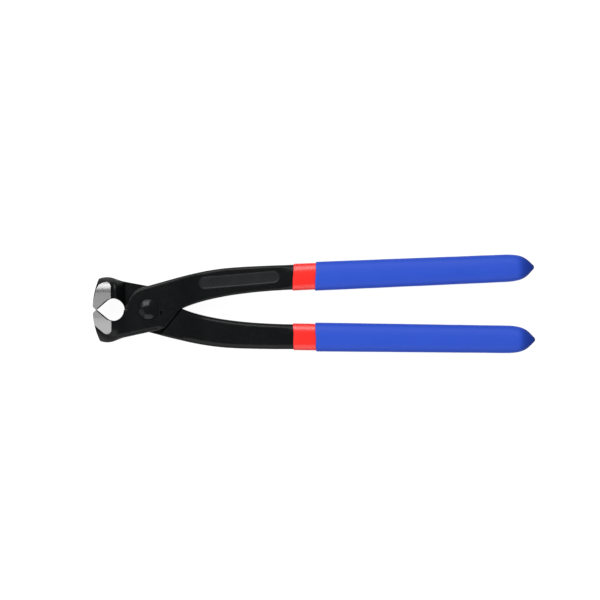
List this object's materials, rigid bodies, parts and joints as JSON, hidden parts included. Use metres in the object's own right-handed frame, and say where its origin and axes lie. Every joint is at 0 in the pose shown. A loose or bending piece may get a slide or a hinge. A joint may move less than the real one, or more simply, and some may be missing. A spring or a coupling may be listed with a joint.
{
  "type": "rebar tying pliers",
  "caption": "Forged end-cutting pliers for twisting and cutting tie wire, with lapped levers on a rivet, a round throat behind the jaws and dipped grips.",
  "frame": {"origin": "on the pivot axis, on the flat rear head of the rivet, in the plane of the jaws' lower sides", "axes": "+X from the pivot to the grips, +Y to the upper handle of the picture, +Z along the pivot axis to the viewer"},
  "size_m": [0.2498, 0.0556, 0.02],
  "materials": {
    "black_forged_steel": "black lacquer over a forged surface, satin; the jaw's ground flats are bright",
    "dark_rivet_steel": "dark, worn by setting, half gloss",
    "red_dip": "dipped vinyl, half gloss",
    "blue_dip": "dipped vinyl, satin"
  },
  "bodies": {
    "front_half": {"front_lever": "black_forged_steel", "pivot_rivet": "dark_rivet_steel", "upper_red_undercoat": "red_dip", "upper_blue_grip": "blue_dip"},
    "rear_half": {"rear_lever": "black_forged_steel", "lower_red_undercoat": "red_dip", "lower_blue_grip": "blue_dip"}
  },
  "joints": [
    {"name": "pivot", "type": "hinge", "parent": "front_half", "child": "rear_half", "pos_m": [0, 0, 0.01], "axis": [0, 0, -1], "range_deg": [0, 48]}
  ]
}
